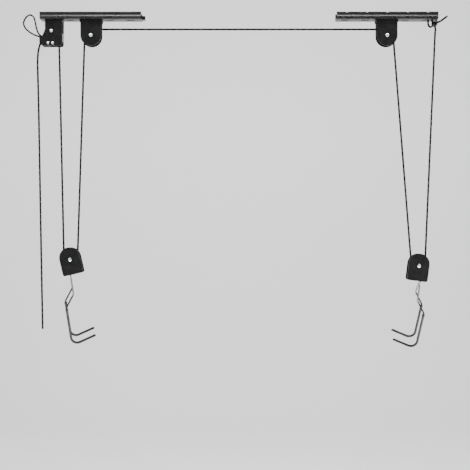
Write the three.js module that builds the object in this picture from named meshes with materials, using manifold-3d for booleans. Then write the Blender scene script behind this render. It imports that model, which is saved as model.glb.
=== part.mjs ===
// Ceiling mounted pulley rack: a rope hoist that lifts a bicycle by two hooks.
// Millimetres. +X to the right, +Y to the back, +Z up. The origin is a point of the ceiling,
// midway between the two rails, so the whole rack hangs below z = 0.
import * as THREE from "three";
import { mergeVertices } from "three/addons/utils/BufferGeometryUtils.js";
import Module from "manifold-3d";

const wasm = await Module();
wasm.setup();

// ---------------------------------------------------------------- driving dimensions
const GAP = 0.3; // between pieces that touch

// rails
const RAIL_LENGTH = 254;
const RAIL_WIDTH = 38;
const RAIL_HEIGHT = 18;
const RAIL_STEEL = 1.8;
const RAIL_LIP = 7;
const RAIL_END = 498.5; // outer end of each rail, from the origin
const SHEAVE_X = 371.5; // ceiling sheaves, from the origin
const STATION_PITCH = 50.8; // of the screw slots and of the notches above them
const SLOT_LENGTH = 20;
const SLOT_WIDTH = 6.5;
const SLOT_SHIFT = -3.5; // the slots sit a little to the left of the notches
const NOTCH_WIDTH = 4;
const NOTCH_DEPTH = 2.5;

// rope
const ROPE = 4.8; // diameter
const LOOP_ROPE = 4; // diameter of the release loop
const ROPE_RADIUS = 17; // of the rope's centreline round a sheave
const TAIL_LENGTH = 720; // of the free end that hangs from the lock

// sheaves and the plates beside them
const SHEAVE_RIM = 20; // radius of a sheave
const LOCK_RIM = 18.5; // radius of the lock's sheave
const SHEAVE_WIDTH = 11;
const AXLE_RADIUS = 4;
const PLATE_STEEL = 2;
const BLOCK_DEPTH = 24; // over both plates
const PLATE_RADIUS = 26; // round end of a plate
const CEILING_SHEAVE_Z = -58;
const LOCK_X = -470.3; // lock sheave
const LOCK_Z = -47;

// rope lock
const LOCK_LEFT = -486.3;
const LOCK_RIGHT = -442.9;
const LOCK_BOTTOM = -83.4;
const LOBE_LEFT = -500.5; // where the plates reach out beside the cam's ear
const CAM_X = -478.6;
const CAM_Z = -77.4;
const CAM_RADIUS = 16.2; // of the rounded ear that the release loop is tied to
const CAM_STEEL = 4;
const STOP_PIN_X = -467.3;
const LOCK_PIN = 2.2; // radius of the cam pin and of the stop pin

// hook blocks: where each hangs, and how far it leans
const LEFT_BLOCK = { x: -423.6, z: -620.5, lean: -13.3 };
const RIGHT_BLOCK = { x: 451.4, z: -636.3, lean: 7.5 };
const BLOCK_TOP = 31; // above the axle
const BLOCK_BOTTOM = 38; // below the axle
const HOOK_SHIFT = 9.5; // of the hook's bar, away from the side that the hook opens to

// hooks: one bent wire with two dipped prongs
const WIRE = 4.2; // diameter
const COATING = 6.4; // diameter over the dipped coating
const COLLAR = 7.8; // diameter of the thick start of the coating
const PRONG_SPACING = 50;
const BIGHT_RADIUS = 6.5; // of the wire's top bend, which hangs on the bar
const LEG_DROP = 41.4;
const KINK_OFFSET = 22.5;
const KINK_DROP = 32.8;
const SHANK = 82.6; // straight part of a prong
const CRADLE_RADIUS = 16;
const ARM = 42; // straight part of the arm
const ARM_RISE = 16; // degrees above square to the shank
const LEFT_HOOK = { lean: -9, roll: 16.3, turn: 13.2 };
const RIGHT_HOOK = { lean: 9, roll: 23.6, turn: -5 };

// ---------------------------------------------------------------- materials
const blackSteel = new THREE.MeshStandardMaterial({ color: 0x101012, metalness: 0.4, roughness: 0.35 });
const blackNylon = new THREE.MeshStandardMaterial({ color: 0x0c0c0d, metalness: 0, roughness: 0.5 });
const zinc = new THREE.MeshStandardMaterial({ color: 0xc4c6c8, metalness: 1, roughness: 0.32 });
const vinyl = new THREE.MeshStandardMaterial({ color: 0x0e0e0f, metalness: 0, roughness: 0.42 });
const braid = new THREE.MeshStandardMaterial({ color: 0x17120f, metalness: 0, roughness: 0.85 });

const rad = THREE.MathUtils.degToRad;
const v3 = (x, y, z) => new THREE.Vector3(x, y, z);

// ---------------------------------------------------------------- shaping
// A geometry as a solid that can be joined and cut.
function solid(geometry) {
  const bare = new THREE.BufferGeometry();
  const loose = geometry.index ? geometry.toNonIndexed() : geometry;
  bare.setAttribute("position", loose.getAttribute("position"));
  const merged = mergeVertices(bare, 1e-4);
  return new wasm.Manifold(
    new wasm.Mesh({
      numProp: 3,
      vertProperties: merged.attributes.position.array,
      triVerts: new Uint32Array(merged.index.array),
    }),
  );
}

// A solid back as a geometry.
function shaped(made) {
  const mesh = made.getMesh();
  const geometry = new THREE.BufferGeometry();
  geometry.setAttribute("position", new THREE.BufferAttribute(new Float32Array(mesh.vertProperties), 3));
  geometry.setIndex(new THREE.BufferAttribute(new Uint32Array(mesh.triVerts), 1));
  return geometry;
}

const joined = (...geometries) => shaped(wasm.Manifold.union(geometries.map(solid)));
const cut = (geometry, ...tools) => shaped(tools.reduce((left, tool) => left.subtract(solid(tool)), solid(geometry)));

// A flat sheet standing in the XZ plane, from y to y + thickness. The outline is [x, z] pairs.
function standing(outline, y, thickness) {
  const shape = new THREE.Shape(outline.map(([x, z]) => new THREE.Vector2(x, z)));
  const sheet = new THREE.ExtrudeGeometry(shape, { depth: thickness, bevelEnabled: false });
  return sheet.rotateX(Math.PI / 2).translate(0, y + thickness, 0);
}

// A section in the YZ plane, run from x to x + length. The outline is [y, z] pairs.
function running(outline, x, length) {
  const shape = new THREE.Shape(outline.map(([y, z]) => new THREE.Vector2(y, z)));
  const bar = new THREE.ExtrudeGeometry(shape, { depth: length, bevelEnabled: false });
  return bar.rotateZ(Math.PI / 2).rotateY(Math.PI / 2).translate(x, 0, 0);
}

// A box between two corners.
function box(x0, x1, y0, y1, z0, z1) {
  const made = new THREE.BoxGeometry(x1 - x0, y1 - y0, z1 - z0);
  return made.translate((x0 + x1) / 2, (y0 + y1) / 2, (z0 + z1) / 2);
}

// A turned piece about Y. The profile is [radius, y] pairs, anticlockwise.
function turned(profile, segments) {
  return new THREE.LatheGeometry(profile.map(([r, y]) => new THREE.Vector2(r, y)), segments);
}

// A ring about Y.
function ring(bore, outside, y0, y1, segments = 16) {
  return turned([[bore, y0], [outside, y0], [outside, y1], [bore, y1], [bore, y0]], segments);
}

// A straight pin about Y, for drilling.
function drill(radius, y0, y1, x, z) {
  return turned([[0, y0], [radius, y0], [radius, y1], [0, y1]], 16).translate(x, 0, z);
}

// A rivet about Y: shaft from -half to +half, with a domed head beyond each end.
function rivet(shaft, head, height, half, segments = 16) {
  const top = half + height;
  const profile = [
    [0, -top],
    [head * 0.55, -top + height * 0.12],
    [head * 0.9, -half - height * 0.45],
    [head, -half],
    [shaft, -half],
    [shaft, half],
    [head, half],
    [head * 0.9, half + height * 0.45],
    [head * 0.55, top - height * 0.12],
    [0, top],
  ];
  return turned(profile, segments);
}

// The points of an arc in the XZ plane about [x, z], angles in degrees from +X towards +Z.
function arc(x, z, radius, from, to, steps) {
  const points = [];
  for (let n = 0; n <= steps; n++) {
    const angle = rad(from + ((to - from) * n) / steps);
    points.push([x + radius * Math.cos(angle), z + radius * Math.sin(angle)]);
  }
  return points;
}

// A run of straight pieces between corners, with each inner corner rounded to its radius.
function rounded(corners, radii, steps) {
  const run = [corners[0]];
  for (let n = 1; n < corners.length - 1; n++) {
    const radius = radii[n - 1];
    const back = corners[n - 1].clone().sub(corners[n]).normalize();
    const ahead = corners[n + 1].clone().sub(corners[n]).normalize();
    const half = back.angleTo(ahead) / 2;
    const turn = Math.PI - 2 * half;
    const inset = radius / Math.tan(half);
    const centre = back.clone().add(ahead).normalize().multiplyScalar(radius / Math.sin(half)).add(corners[n]);
    const from = back.clone().multiplyScalar(inset).add(corners[n]).sub(centre);
    const to = ahead.clone().multiplyScalar(inset).add(corners[n]).sub(centre);
    const count = Math.max(2, Math.round((steps * turn) / Math.PI));
    for (let k = 0; k <= count; k++) {
      const at = (turn * k) / count;
      const point = from.clone().multiplyScalar(Math.sin(turn - at) / Math.sin(turn));
      point.addScaledVector(to, Math.sin(at) / Math.sin(turn)).add(centre);
      if (point.distanceTo(run[run.length - 1]) > 0.02) run.push(point);
    }
  }
  run.push(corners[corners.length - 1]);
  return run;
}

// A path through stations, taken straight from one to the next.
class Stations extends THREE.Curve {
  constructor(points) {
    super();
    this.points = points;
  }
  getPoint(t) {
    const at = t * (this.points.length - 1);
    const n = Math.min(this.points.length - 2, Math.floor(at + 1e-9));
    return this.points[n].clone().lerp(this.points[n + 1], at - n);
  }
  getPointAt(u) {
    return this.getPoint(u);
  }
  getTangentAt(u) {
    const last = this.points.length - 1;
    const n = Math.round(u * last);
    const way = v3(0, 0, 0);
    if (n > 0) way.add(this.points[n].clone().sub(this.points[n - 1]).normalize());
    if (n < last) way.add(this.points[n + 1].clone().sub(this.points[n]).normalize());
    return way.normalize();
  }
}

// A round rod that follows stations.
function rod(points, radius, sides = 8) {
  const corners = [];
  for (let n = 0; n < sides; n++) {
    const angle = (2 * Math.PI * (n + 0.5)) / sides;
    corners.push(new THREE.Vector2(radius * Math.cos(angle), radius * Math.sin(angle)));
  }
  const path = new Stations(points);
  const shape = new THREE.Shape(corners);
  return new THREE.ExtrudeGeometry(shape, { steps: points.length - 1, extrudePath: path, bevelEnabled: false });
}

// A ball squashed to three radii.
function lump(x, y, z, rx, ry, rz) {
  return new THREE.SphereGeometry(1, 10, 8).scale(rx, ry, rz).translate(x, y, z);
}

// Stations of a smooth curve through hand-chosen points.
function smooth(points, steps) {
  return new THREE.CatmullRomCurve3(points, false, "centripetal").getSpacedPoints(steps);
}

const rack = new THREE.Group();
function add(name, geometry, material, parent = rack) {
  const mesh = new THREE.Mesh(geometry, material);
  mesh.name = name;
  parent.add(mesh);
  return mesh;
}

// ---------------------------------------------------------------- rails
// Each rail is a folded channel, open upwards, with turned-in lips that bear on the ceiling.
const WEB_TOP = -RAIL_HEIGHT + RAIL_STEEL;

function railSection() {
  const w = RAIL_WIDTH / 2;
  const t = RAIL_STEEL;
  const h = RAIL_HEIGHT;
  // right half of the section, outside then inside; a shallow bead runs along each wall
  const outside = [
    [0, -h],
    [w - 2.2, -h],
    [w - 0.6, -h + 0.7],
    [w, -h + 2.4],
    [w, -h * 0.62],
    [w - 1.3, -h * 0.53],
    [w - 1.3, -h * 0.43],
    [w, -h * 0.34],
    [w, -2.2],
    [w - 0.6, -0.7],
    [w - 2.2, 0],
    [w - RAIL_LIP, 0],
  ];
  const inside = [
    [w - RAIL_LIP, -t],
    [w - 2.4, -t],
    [w - t, -t - 0.7],
    [w - t, -h * 0.31],
    [w - t - 1.3, -h * 0.4],
    [w - t - 1.3, -h * 0.56],
    [w - t, -h * 0.65],
    [w - t, -h + 2.6],
    [w - 2.4, -h + t],
    [0, -h + t],
  ];
  const half = [...outside, ...inside];
  const mirrored = half.slice(1, -1).reverse().map(([y, z]) => [-y, z]);
  return [...half, ...mirrored];
}

// A screw slot's drill, through the web.
function slotTool(x) {
  const r = SLOT_WIDTH / 2;
  const reach = SLOT_LENGTH / 2 - r;
  const shape = new THREE.Shape();
  shape.absarc(reach, 0, r, -Math.PI / 2, Math.PI / 2, false);
  shape.absarc(-reach, 0, r, Math.PI / 2, (3 * Math.PI) / 2, false);
  const depth = RAIL_STEEL + 2;
  const tool = new THREE.ExtrudeGeometry(shape, { depth, bevelEnabled: false, curveSegments: 4 });
  return tool.translate(x, 0, -RAIL_HEIGHT - 1);
}

// The slots and notches are counted from the outer end; side is -1 for the left rail, 1 for the right.
function rail(side, rivetsAt, extraTools, tongue) {
  const count = Math.round(RAIL_LENGTH / STATION_PITCH);
  const stations = Array.from({ length: count }, (_, n) => side * (RAIL_END - STATION_PITCH * (n + 0.5)));
  const body = running(railSection(), side > 0 ? RAIL_END - RAIL_LENGTH : -RAIL_END, RAIL_LENGTH);
  const tools = stations.map((x) => slotTool(x + SLOT_SHIFT));
  // the left rail's front lip has no notches
  const notchFrom = side > 0 ? -RAIL_WIDTH / 2 - 1 : 0;
  for (const x of stations) {
    const half = NOTCH_WIDTH / 2;
    tools.push(box(x - half, x + half, notchFrom, RAIL_WIDTH / 2 + 1, -NOTCH_DEPTH, 1));
  }
  for (const x of rivetsAt) {
    tools.push(drill(RIVET_SHAFT + GAP, -4, 4, 0, 0).rotateX(Math.PI / 2).translate(x, 0, -RAIL_HEIGHT));
  }
  return cut(joined(body, ...tongue), ...tools, ...extraTools);
}

const RIVET_SHAFT = 2.5;
const RIVET_HEAD = 4.5;
const BLOCK_RIVETS = [-18, 18]; // of a ceiling block, either side of the sheave
const LOCK_RIVETS = [-461.5, -448.5];
const leftEnd = RAIL_LENGTH - RAIL_END; // inner end of the left rail
const rightEnd = RAIL_END; // outer end of the right rail

// the left rail's end tab is folded up in front; the right rail's is folded down and holed for the rope
const leftTab = [
  box(leftEnd - 6, leftEnd + 9.5, -7.5, 7.5, -RAIL_HEIGHT, WEB_TOP),
  box(leftEnd - 0.5, leftEnd + 9.5, -7.5, -7.5 + RAIL_STEEL, -RAIL_HEIGHT, -9),
];
const TIE_HOLE_Z = -24.6;
const rightTab = [box(rightEnd - 2, rightEnd - 2 + RAIL_STEEL, -7.5, 7.5, -31, WEB_TOP)];
const tieHole = drill((ROPE * 2) / 3, -4, 4, 0, 0).rotateZ(Math.PI / 2).translate(rightEnd - 1, 0, TIE_HOLE_Z);
// the strip of web that the rope is tied round, between the last slot and the opening
const STRIP_LEFT = rightEnd - STATION_PITCH / 2 + SLOT_SHIFT + SLOT_LENGTH / 2;
const STRIP_RIGHT = STRIP_LEFT + 3.9;
const LEG_LEFT = STRIP_LEFT - ROPE / 2 - 0.7; // the rope, either side of the strip
const LEG_RIGHT = STRIP_RIGHT + ROPE / 2 + 0.6;
const tieOpening = box(STRIP_RIGHT, LEG_RIGHT + ROPE / 2 + 0.6, -5, 5, -RAIL_HEIGHT - 1, WEB_TOP + 1);

add(
  "rail_left",
  rail(-1, [...BLOCK_RIVETS.map((x) => x - SHEAVE_X), ...LOCK_RIVETS], [], leftTab),
  blackSteel,
);
add(
  "rail_right",
  rail(1, BLOCK_RIVETS.map((x) => x + SHEAVE_X), [tieHole, tieOpening], rightTab),
  blackSteel,
);

// ---------------------------------------------------------------- sheaves, axles, washers, rivets
const GROOVE = ROPE_RADIUS - ROPE / 2 - GAP; // radius at the bottom of the groove
const PLATE_INSIDE = BLOCK_DEPTH / 2 - PLATE_STEEL;
const BRIDGE_TOP = -RAIL_HEIGHT - GAP;

function sheave(rim) {
  const h = SHEAVE_WIDTH / 2;
  const bore = AXLE_RADIUS + GAP;
  const side = [
    [bore, -h],
    [bore + 4.4, -h],
    [bore + 5.4, -h + 1.2],
    [rim, -h + 0.4],
    [rim, -h + 1.2],
    [GROOVE + 1.2, -ROPE * 0.5],
    [GROOVE, -ROPE * 0.2],
  ];
  const other = side.map(([r, y]) => [r, -y]).reverse();
  return turned([...side, ...other, side[0]], 24);
}

// A sheave on its axle between the two plates, with a washer on each side.
function sheaveSet(name, x, z, rim, head, parent = rack) {
  add("sheave_" + name, sheave(rim).translate(x, 0, z), blackNylon, parent);
  const half = BLOCK_DEPTH / 2 + GAP;
  add("axle_" + name, rivet(AXLE_RADIUS, head, 2.6, half).translate(x, 0, z), zinc, parent);
  const near = -PLATE_INSIDE + GAP;
  const inner = SHEAVE_WIDTH / 2 + GAP;
  const bore = AXLE_RADIUS + GAP;
  add("washer_" + name + "_front", ring(bore, 7, near, -inner).translate(x, 0, z), zinc, parent);
  add("washer_" + name + "_back", ring(bore, 7, inner, -near).translate(x, 0, z), zinc, parent);
}

// A rivet that fixes a folded housing under a rail's web.
function mountRivet(name, x) {
  const half = (RAIL_STEEL + PLATE_STEEL + GAP) / 2 + GAP;
  const middle = (WEB_TOP + BRIDGE_TOP - PLATE_STEEL) / 2;
  add(name, rivet(RIVET_SHAFT, RIVET_HEAD, 2, half, 12).rotateX(Math.PI / 2).translate(x, 0, middle), zinc);
}

function mountHoles(places) {
  return places.map((x) =>
    drill(RIVET_SHAFT + GAP, -4, 4, 0, 0).rotateX(Math.PI / 2).translate(x, 0, BRIDGE_TOP),
  );
}

function axleHole(x, z, radius) {
  return drill(radius, -BLOCK_DEPTH, BLOCK_DEPTH, x, z);
}

// ---------------------------------------------------------------- ceiling pulley blocks
// One sheet folded into an upside-down U, riveted under the middle of each rail.
function ceilingBlock(side, centre) {
  const r = PLATE_RADIUS;
  const outline = [
    [-r - 2, BRIDGE_TOP],
    [-r - 2, BRIDGE_TOP - 4.7],
    [-r, BRIDGE_TOP - 7.7],
    ...arc(0, CEILING_SHEAVE_Z, r, 180, 360, 14),
    [r, BRIDGE_TOP - 7.7],
    [r + 2, BRIDGE_TOP - 4.7],
    [r + 2, BRIDGE_TOP],
  ];
  const housing = joined(
    standing(outline, -BLOCK_DEPTH / 2, PLATE_STEEL),
    standing(outline, PLATE_INSIDE, PLATE_STEEL),
    box(-r - 2, r + 2, -BLOCK_DEPTH / 2, BLOCK_DEPTH / 2, BRIDGE_TOP - PLATE_STEEL, BRIDGE_TOP),
  );
  const hole = axleHole(0, CEILING_SHEAVE_Z, AXLE_RADIUS + GAP);
  add("housing_" + side, cut(housing, hole, ...mountHoles(BLOCK_RIVETS)).translate(centre, 0, 0), blackSteel);
  sheaveSet(side, centre, CEILING_SHEAVE_Z, SHEAVE_RIM, 5);
  mountRivet("rivet_" + side + "_a", centre + BLOCK_RIVETS[0]);
  mountRivet("rivet_" + side + "_b", centre + BLOCK_RIVETS[1]);
}
ceilingBlock("left", -SHEAVE_X);
ceilingBlock("right", SHEAVE_X);

// ---------------------------------------------------------------- rope lock
// A folded housing under the outer end of the left rail, with a sheave, a toothed cam that
// bites the rope against a pad, a stop pin and a spring that keeps the cam down on the rope.
const lockOutline = [
  [LOCK_LEFT, BRIDGE_TOP],
  [LOCK_LEFT, LOCK_BOTTOM + 27],
  [LOBE_LEFT + 4, LOCK_BOTTOM + 23.5],
  [LOBE_LEFT + 1, LOCK_BOTTOM + 22],
  [LOBE_LEFT, LOCK_BOTTOM + 19.5],
  [LOBE_LEFT, LOCK_BOTTOM + 9],
  [LOBE_LEFT + 1, LOCK_BOTTOM + 6],
  [LOBE_LEFT + 5.5, LOCK_BOTTOM + 1],
  [LOBE_LEFT + 8, LOCK_BOTTOM],
  [LOCK_RIGHT - 5, LOCK_BOTTOM],
  [LOCK_RIGHT - 1.2, LOCK_BOTTOM + 1.5],
  [LOCK_RIGHT, LOCK_BOTTOM + 9],
  [LOCK_RIGHT, BRIDGE_TOP],
];
const lockShell = joined(
  standing(lockOutline, -BLOCK_DEPTH / 2, PLATE_STEEL),
  standing(lockOutline, PLATE_INSIDE, PLATE_STEEL),
  box(LOCK_LEFT, LOCK_RIGHT, -BLOCK_DEPTH / 2, BLOCK_DEPTH / 2, BRIDGE_TOP - PLATE_STEEL, BRIDGE_TOP),
  box(LOCK_RIGHT - PLATE_STEEL, LOCK_RIGHT, -PLATE_INSIDE - 1, PLATE_INSIDE + 1, LOCK_BOTTOM + 10, -52),
);
add(
  "housing_lock",
  cut(
    lockShell,
    axleHole(LOCK_X, LOCK_Z, AXLE_RADIUS + GAP),
    axleHole(CAM_X, CAM_Z, LOCK_PIN + GAP),
    axleHole(STOP_PIN_X, CAM_Z, LOCK_PIN + GAP),
    ...mountHoles(LOCK_RIVETS),
  ),
  blackSteel,
);
sheaveSet("lock", LOCK_X, LOCK_Z, LOCK_RIM, 4.4);
mountRivet("rivet_lock_a", LOCK_RIVETS[0]);
mountRivet("rivet_lock_b", LOCK_RIVETS[1]);

// the cam: rounded ear to the left of its pin, toothed nose to the right
const camOutline = [
  ...arc(0, 0, CAM_RADIUS, 108, 201.5, 10),
  [4, LOCK_BOTTOM - CAM_Z],
  [6.4, -2.6],
  [8, 3.3],
  [13, 3.3],
  [20.4, 4.9],
  [22.3, 6.1],
  [21.1, 7],
  [22, 7.9],
  [20.7, 8.6],
  [21.3, 9.5],
  [13, 9],
  [4, 10.5],
];
const LOOP_HOLE = [-9.5, 9.5]; // in the ear, from the cam pin
add(
  "cam",
  cut(
    standing(camOutline, -CAM_STEEL / 2, CAM_STEEL),
    drill(LOCK_PIN + GAP, -5, 5, 0, 0),
    drill(LOOP_ROPE / 2 + GAP, -5, 5, LOOP_HOLE[0], LOOP_HOLE[1]),
  ).translate(CAM_X, 0, CAM_Z),
  blackSteel,
);
const pinHalf = BLOCK_DEPTH / 2 + GAP;
add("cam_pin", rivet(LOCK_PIN, 3.4, 2, pinHalf, 14).translate(CAM_X, 0, CAM_Z), zinc);
add("stop_pin", rivet(LOCK_PIN, 3.4, 2, pinHalf, 14).translate(STOP_PIN_X, 0, CAM_Z), zinc);
const camSide = CAM_STEEL / 2 + GAP;
add(
  "cam_spacer",
  ring(LOCK_PIN + GAP, 5, camSide, PLATE_INSIDE - GAP).translate(CAM_X, 0, CAM_Z),
  blackNylon,
);
add(
  "lock_pad",
  box(-449.9, LOCK_RIGHT - PLATE_STEEL - GAP, -PLATE_INSIDE + GAP, PLATE_INSIDE - GAP, -75, -58),
  blackNylon,
);

// torsion spring: three coils round the cam pin, in front of the cam
const coil = [v3(-1, -3.6, 12), v3(3.8, -3.6, 5)];
for (let n = 0; n <= 30; n++) {
  const angle = rad(20) - (2 * Math.PI * 2.75 * n) / 30;
  coil.push(v3(4.1 * Math.cos(angle), -3.6 - (4.4 * n) / 30, 4.1 * Math.sin(angle)));
}
coil.push(v3(11, -8.2, 13));
add("cam_spring", rod(coil, 0.6, 6).translate(CAM_X, 0, CAM_Z), zinc);

// release loop: a short loop of cord knotted in front of the ear, its end through the ear's hole
const loopRun = smooth(
  [
    v3(-494.2, -6.4, -61),
    v3(-503.6, -5.5, -52.4),
    v3(-508.6, -4, -39.8),
    v3(-512.4, -2, -24.4),
    v3(-517.2, 0, -9.8),
    v3(-525, 0, -4.6),
    v3(-535, 0, -9.5),
    v3(-542.3, 0, -24.4),
    v3(-538.3, -1, -36.8),
    v3(-527.8, -3, -47.4),
    v3(-512.4, -5, -56.4),
    v3(-494.2, -6.4, -62.2),
  ],
  30,
);
const loopEnd = smooth(
  [
    v3(-494.2, -6.4, -61.6),
    v3(-490, -6, -65),
    v3(CAM_X + LOOP_HOLE[0], -2.6, CAM_Z + LOOP_HOLE[1]),
    v3(CAM_X + LOOP_HOLE[0], 3.4, CAM_Z + LOOP_HOLE[1]),
  ],
  10,
);
add(
  "release_loop",
  joined(
    rod(loopRun, LOOP_ROPE / 2),
    rod(loopEnd, LOOP_ROPE / 2),
    lump(-494.2, -6.4, -61.5, 3.6, 3.3, 3.8),
    lump(CAM_X + LOOP_HOLE[0], 4.9, CAM_Z + LOOP_HOLE[1], 3.6, 2.4, 3.6),
  ),
  braid,
);

// ---------------------------------------------------------------- hook blocks
// A folded sheet with its bridge at the bottom. The hook's wire goes up one hole of the bridge
// and down the other, over the bar between them.
const BAR_HALF = 2.2;
const BAR_LENGTH = 12;
const BRIDGE_MIDDLE = -BLOCK_BOTTOM + PLATE_STEEL / 2;
const HOOK_PIVOT = BRIDGE_MIDDLE - 2.2; // centre of the wire's top bend, below the axle

function hookBlock(side, place, openTo) {
  const block = new THREE.Group();
  block.position.set(place.x, 0, place.z);
  block.rotation.y = rad(place.lean);
  rack.add(block);
  const r = PLATE_RADIUS;
  const rise = BLOCK_TOP - r;
  const outline = [
    ...arc(0, rise, r, 0, 180, 14),
    [-r, -BLOCK_BOTTOM + 5],
    [-r + 1.5, -BLOCK_BOTTOM + 1.5],
    [-r + 5, -BLOCK_BOTTOM],
    [r - 5, -BLOCK_BOTTOM],
    [r - 1.5, -BLOCK_BOTTOM + 1.5],
    [r, -BLOCK_BOTTOM + 5],
  ];
  const barAt = -openTo * HOOK_SHIFT;
  const half = BAR_LENGTH / 2;
  const holes = [-1, 1].map((s) => {
    const edge = [s * BAR_HALF, s * (PLATE_INSIDE - GAP)].sort((a, b) => a - b);
    return box(barAt - half, barAt + half, edge[0], edge[1], -BLOCK_BOTTOM - 1, -BLOCK_BOTTOM + PLATE_STEEL + 1);
  });
  const shell = joined(
    standing(outline, -BLOCK_DEPTH / 2, PLATE_STEEL),
    standing(outline, PLATE_INSIDE, PLATE_STEEL),
    box(-r + 5, r - 5, -PLATE_INSIDE - 1, PLATE_INSIDE + 1, -BLOCK_BOTTOM, -BLOCK_BOTTOM + PLATE_STEEL),
  );
  const name = "hook_" + side;
  add("housing_" + name, cut(shell, axleHole(0, 0, AXLE_RADIUS + GAP), ...holes), blackSteel, block);
  sheaveSet(name, 0, 0, SHEAVE_RIM, 5, block);
  return { block, barAt };
}

// One half of the hook's wire, from the top of the bight to the tip of its prong.
function halfWire(openTo, depthSide) {
  const half = PRONG_SPACING / 2;
  const kinkBottom = -LEG_DROP - KINK_DROP;
  const cradle = kinkBottom - SHANK;
  const rise = rad(ARM_RISE);
  const inset = CRADLE_RADIUS / Math.tan((Math.PI / 2 - rise) / 2);
  const u = (x) => openTo * x;
  const v = (y) => depthSide * y;
  const reach = inset + ARM;
  const corners = [
    v3(0, 0, BIGHT_RADIUS),
    v3(0, v(BIGHT_RADIUS), BIGHT_RADIUS),
    v3(0, v(BIGHT_RADIUS), -4.8),
    v3(0, v(half), -LEG_DROP),
    v3(u(-KINK_OFFSET), v(half), kinkBottom),
    v3(u(-KINK_OFFSET), v(half), cradle - inset),
    v3(u(-KINK_OFFSET + reach * Math.cos(rise)), v(half), cradle - inset + reach * Math.sin(rise)),
  ];
  return rounded(corners, [BIGHT_RADIUS - 0.01, 4, 6, 6, CRADLE_RADIUS], 12);
}

function hook(side, openTo, place, pose) {
  const { block, barAt } = place;
  const holder = new THREE.Group();
  block.updateMatrixWorld(true);
  holder.position.copy(block.localToWorld(v3(barAt, 0, HOOK_PIVOT)));
  holder.rotation.set(rad(pose.roll), rad(pose.lean), rad(pose.turn), "ZXY");
  rack.add(holder);
  const front = halfWire(openTo, -1);
  const back = halfWire(openTo, 1);
  const wire = [...front.slice().reverse(), ...back.slice(1)];
  add("wire_" + side, rod(wire, WIRE / 2), zinc, holder);
  for (const [end, run] of [["front", front], ["back", back]]) {
    const start = run.findIndex((p) => p.z < -LEG_DROP - KINK_DROP && Math.abs(p.x) > KINK_OFFSET - 0.01);
    const from = run[start].clone().add(v3(0, 0, -0.4));
    const collarEnd = from.clone().add(v3(0, 0, -6));
    const rest = run.filter((p, n) => n > start && p.z < collarEnd.z);
    const tip = rest[rest.length - 1];
    const onward = tip.clone().sub(rest[rest.length - 2]).normalize();
    const skin = [from, ...rest.slice(0, -1), tip.clone().addScaledVector(onward, 2)];
    const bore = [from.clone().add(v3(0, 0, 1)), ...rest.slice(0, -1), tip.clone().addScaledVector(onward, GAP)];
    const coated = joined(rod(skin, COATING / 2), rod([from, collarEnd], COLLAR / 2));
    add("coating_" + side + "_" + end, cut(coated, rod(bore, WIRE / 2 + GAP)), vinyl, holder);
  }
}

hook("left", 1, hookBlock("left", LEFT_BLOCK, 1), LEFT_HOOK);
hook("right", -1, hookBlock("right", RIGHT_BLOCK, -1), RIGHT_HOOK);

// ---------------------------------------------------------------- rope
// Route: tied to the right rail, down, round the right hook's sheave, up and over the right
// ceiling sheave, across, over the left ceiling sheave, down, round the left hook's sheave, up
// and over the lock's sheave, out to the left past the cam's ear, and down as the free tail.
const flat = (points) => points.map(([x, z]) => v3(x, 0, z));
const R = ROPE_RADIUS;

// a straight fall between two ends, stopping short of the pieces at both
function fall(name, top, bottom) {
  const ends = flat([top, bottom]);
  const way = ends[1].clone().sub(ends[0]).normalize();
  add(name, rod([ends[0].addScaledVector(way, GAP), ends[1].addScaledVector(way, -GAP)], ROPE / 2), braid);
}

function bight(name, place) {
  add(name, rod(flat(arc(place.x, place.z, R, 0, -180, 14)), ROPE / 2), braid);
}

const TIE_END = [493.5, -60]; // where the tied end becomes the first fall
const ringRun = smooth(
  [
    v3(490.3, 0, -27.5),
    v3(486.6, 0, -32.3),
    v3(482.3, 0, -35.2),
    v3(478.2, 0, -31.8),
    v3(LEG_LEFT - 0.1, 0, -26),
    v3(LEG_LEFT, 0, -19),
    v3(LEG_LEFT + 0.8, 0, -14.6),
    v3(481.4, 0, -12.9),
    v3(LEG_RIGHT - 0.9, 0, -14.6),
    v3(LEG_RIGHT, 0, -19),
    v3(488, 0, -23.5),
    v3(490.3, 0, -27.5),
  ],
  24,
);
const standingRun = smooth(
  [v3(490.3, 0, -27.5), v3(493.5, 0, -34), v3(494.8, 0, -41), v3(494, 0, -50), v3(TIE_END[0], 0, TIE_END[1])],
  8,
);
const endRun = smooth(
  [
    v3(490.3, 0, -27.5),
    v3(497, 0, TIE_HOLE_Z),
    v3(503.5, 0, -21.8),
    v3(509.2, 0, -19.2),
    v3(516.8, 0, -13.4),
    v3(526.1, 0, -6.6),
  ],
  12,
);
add(
  "rope_tie",
  joined(
    rod(ringRun, ROPE / 2),
    rod(standingRun, ROPE / 2),
    rod(endRun, ROPE / 2),
    lump(490.3, 0, -27.8, 4.9, 5.4, 6),
  ),
  braid,
);
fall("rope_fall_1", TIE_END, [RIGHT_BLOCK.x + R, RIGHT_BLOCK.z]);
bight("rope_bight_right", RIGHT_BLOCK);
fall("rope_fall_2", [SHEAVE_X + R, CEILING_SHEAVE_Z], [RIGHT_BLOCK.x - R, RIGHT_BLOCK.z]);
add(
  "rope_span",
  rod(
    flat([
      ...arc(SHEAVE_X, CEILING_SHEAVE_Z, R, 0, 90, 7),
      ...arc(-SHEAVE_X, CEILING_SHEAVE_Z, R, 90, 180, 7),
    ]),
    ROPE / 2,
  ),
  braid,
);
fall("rope_fall_3", [-SHEAVE_X - R, CEILING_SHEAVE_Z], [LEFT_BLOCK.x + R, LEFT_BLOCK.z]);
bight("rope_bight_left", LEFT_BLOCK);
fall("rope_fall_4", [LOCK_X + R, LOCK_Z], [LEFT_BLOCK.x - R, LEFT_BLOCK.z]);
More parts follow.
